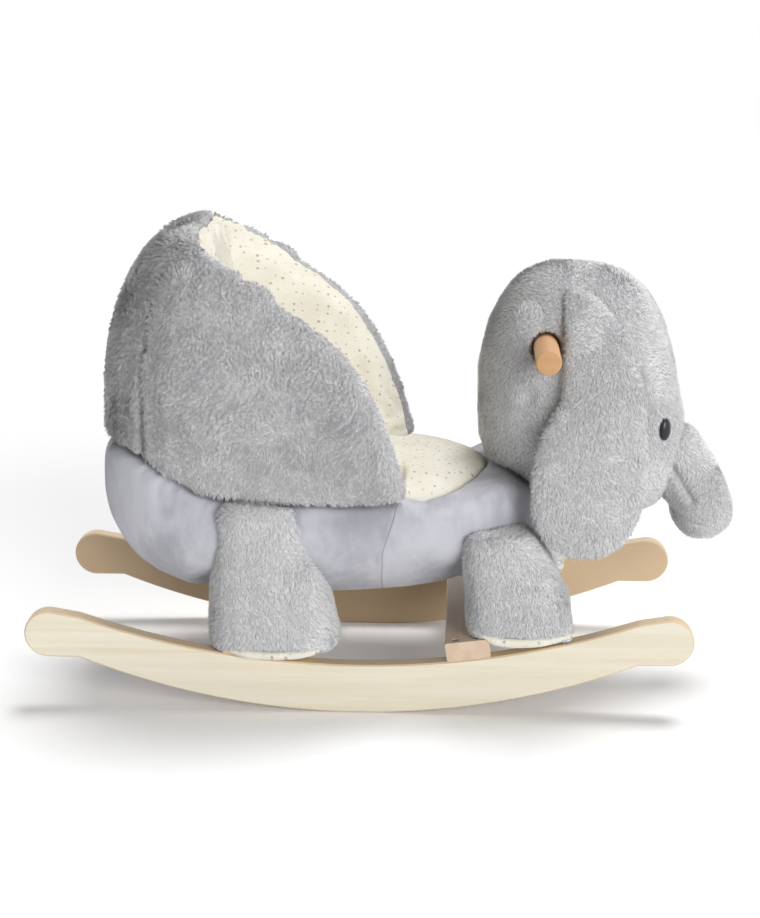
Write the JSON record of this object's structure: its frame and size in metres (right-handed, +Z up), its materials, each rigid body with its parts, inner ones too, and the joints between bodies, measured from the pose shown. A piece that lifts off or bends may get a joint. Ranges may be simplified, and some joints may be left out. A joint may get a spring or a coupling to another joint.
{
  "type": "rocking elephant",
  "caption": "Plush rocking elephant with a bucket seat, hanging ears, a short trunk and a handle dowel through the head, on two curved plywood rockers joined by slats.",
  "frame": {"origin": "middle of the bounding box on the floor, under the toy", "axes": "+X forward to the trunk, +Y to the elephant's left, +Z up"},
  "size_m": [0.7526, 0.3228, 0.504],
  "materials": {
    "birch_plywood": "satin lacquer",
    "beech": "satin lacquer",
    "handle_beech": "satin lacquer",
    "steel": "zinc plated",
    "fur": "long soft pile",
    "velour": "short smooth pile",
    "dotted_cotton": "woven cotton with small dots",
    "eye_plastic": "glossy"
  },
  "bodies": {
    "toy": {"rocker_right": "birch_plywood", "rocker_left": "birch_plywood", "front_slat": "beech", "rear_slat": "beech", "front_slat_screw_right_rear": "steel", "front_slat_screw_right_front": "steel", "front_slat_screw_left_rear": "steel", "front_slat_screw_left_front": "steel", "rear_slat_screw_right_rear": "steel", "rear_slat_screw_right_front": "steel", "rear_slat_screw_left_rear": "steel", "rear_slat_screw_left_front": "steel", "front_leg_post_right": "beech", "front_leg_post_left": "beech", "rear_leg_post_right": "beech", "rear_leg_post_left": "beech", "seat_board": "birch_plywood", "back_board": "birch_plywood", "neck_board_right": "birch_plywood", "neck_board_left": "birch_plywood", "neck_block": "beech", "handle_dowel": "handle_beech", "front_leg_bolt_right": "steel", "front_leg_bolt_left": "steel", "rear_leg_bolt_right": "steel", "rear_leg_bolt_left": "steel", "front_seat_screw_right": "steel", "front_seat_screw_left": "steel", "rear_seat_screw_right": "steel", "rear_seat_screw_left": "steel", "back_screw_right": "steel", "back_screw_left": "steel", "neck_screw_rear": "steel", "neck_screw_front": "steel", "handle_screw_right": "steel", "handle_screw_left": "steel", "belly": "velour", "seat_pad": "dotted_cotton", "back_lining": "dotted_cotton", "wing_lining_right": "dotted_cotton", "wing_lining_left": "dotted_cotton", "back_bolster": "fur", "wing_right": "fur", "wing_left": "fur", "front_leg_right": "fur", "front_sole_right": "dotted_cotton", "front_leg_left": "fur", "front_sole_left": "dotted_cotton", "rear_leg_right": "fur", "rear_sole_right": "dotted_cotton", "rear_leg_left": "fur", "rear_sole_left": "dotted_cotton", "head": "fur", "eye_right": "eye_plastic", "eye_left": "eye_plastic"},
    "ear_right": {"ear_right": "fur"},
    "ear_left": {"ear_left": "fur"},
    "trunk": {"trunk": "fur"}
  },
  "joints": [
    {"name": "ear_right_lift", "type": "hinge", "parent": "toy", "child": "ear_right", "pos_m": [0.1887, -0.052, 0.438], "axis": [-1, 0, 0], "range_deg": [0, 70]},
    {"name": "ear_left_lift", "type": "hinge", "parent": "toy", "child": "ear_left", "pos_m": [0.1887, 0.052, 0.438], "axis": [1, 0, 0], "range_deg": [0, 70]},
    {"name": "trunk_bend", "type": "hinge", "parent": "toy", "child": "trunk", "pos_m": [0.3067, 0, 0.25], "axis": [0, -1, 0], "range_deg": [0, 25]}
  ]
}
